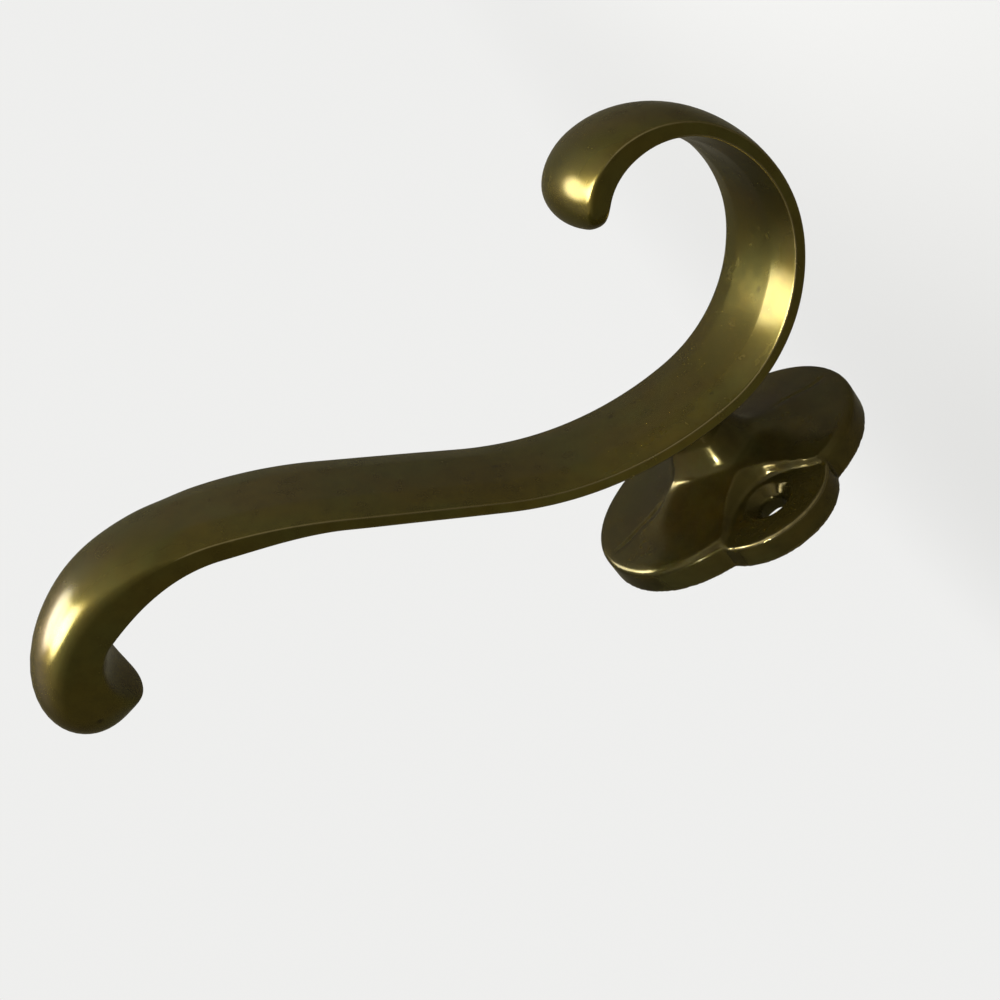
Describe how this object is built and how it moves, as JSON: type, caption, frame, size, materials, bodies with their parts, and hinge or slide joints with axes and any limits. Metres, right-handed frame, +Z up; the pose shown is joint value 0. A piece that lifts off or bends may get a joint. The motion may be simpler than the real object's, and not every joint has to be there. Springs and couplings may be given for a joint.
{
  "type": "hat and coat hook",
  "caption": "Cast brass hat and coat hook: a lobed wall rose with countersunk screw holes carries an S-shaped strap, a tall hat hook above and a curled coat hook below.",
  "frame": {"origin": "centre of the rose's flat back face, on the wall", "axes": "+X along the wall, +Y into the wall, +Z up; the hook stands out along -Y"},
  "size_m": [0.0508, 0.0647, 0.1394],
  "materials": {
    "aged_brass": "aged, darkened brass with worn bright edges"
  },
  "bodies": {
    "root": {"hook_casting": "aged_brass"}
  },
  "joints": []
}
